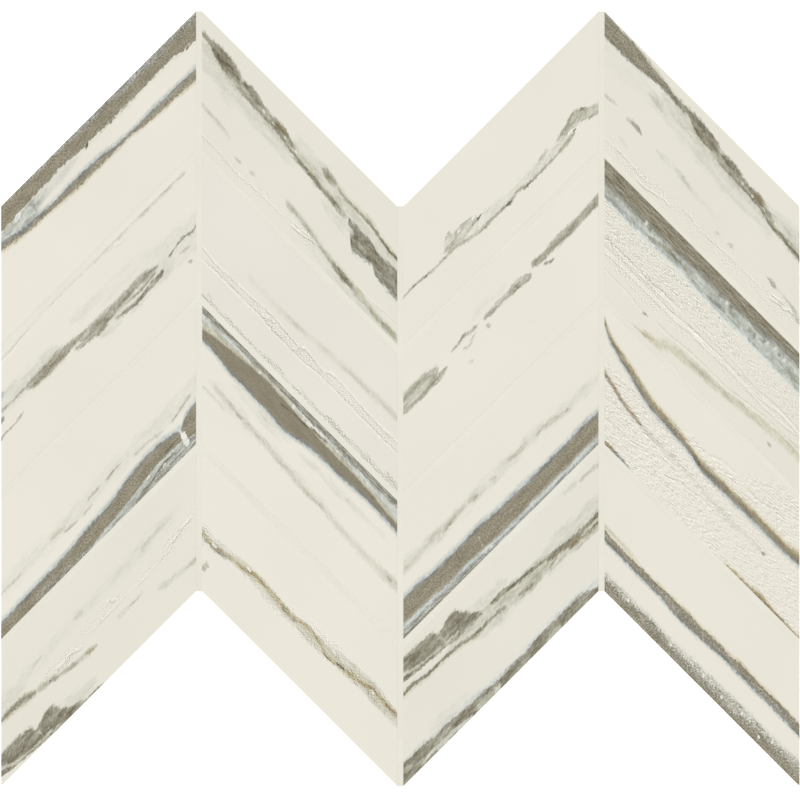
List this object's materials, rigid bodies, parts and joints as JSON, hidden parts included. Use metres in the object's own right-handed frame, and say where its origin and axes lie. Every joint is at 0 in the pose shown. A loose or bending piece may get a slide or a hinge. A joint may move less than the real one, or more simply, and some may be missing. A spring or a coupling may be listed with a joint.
{
  "type": "chevron mosaic tile sheet",
  "caption": "Sheet of slanted marble-look porcelain tiles in chevron columns, with filled joints and a mesh back that is bonded flat to a wall.",
  "frame": {"origin": "middle of the back, on the surface that the sheet lies on or is bonded to", "axes": "+Z out of the face, +X across the columns, +Y up the columns as in the picture"},
  "size_m": [0.2976, 0.289, 0.0095],
  "materials": {
    "porcelain": "satin",
    "grout": "matte",
    "glass_mesh": "matte"
  },
  "bodies": {
    "root": {"tile_col1_row1": "porcelain", "tile_col1_row2": "porcelain", "tile_col1_row3": "porcelain", "tile_col1_row4": "porcelain", "tile_col2_row1": "porcelain", "tile_col2_row2": "porcelain", "tile_col2_row3": "porcelain", "tile_col2_row4": "porcelain", "tile_col3_row1": "porcelain", "tile_col3_row2": "porcelain", "tile_col3_row3": "porcelain", "tile_col3_row4": "porcelain", "tile_col4_row1": "porcelain", "tile_col4_row2": "porcelain", "tile_col4_row3": "porcelain", "tile_col4_row4": "porcelain", "joint_grout": "grout", "mesh_backing": "glass_mesh"}
  },
  "joints": []
}
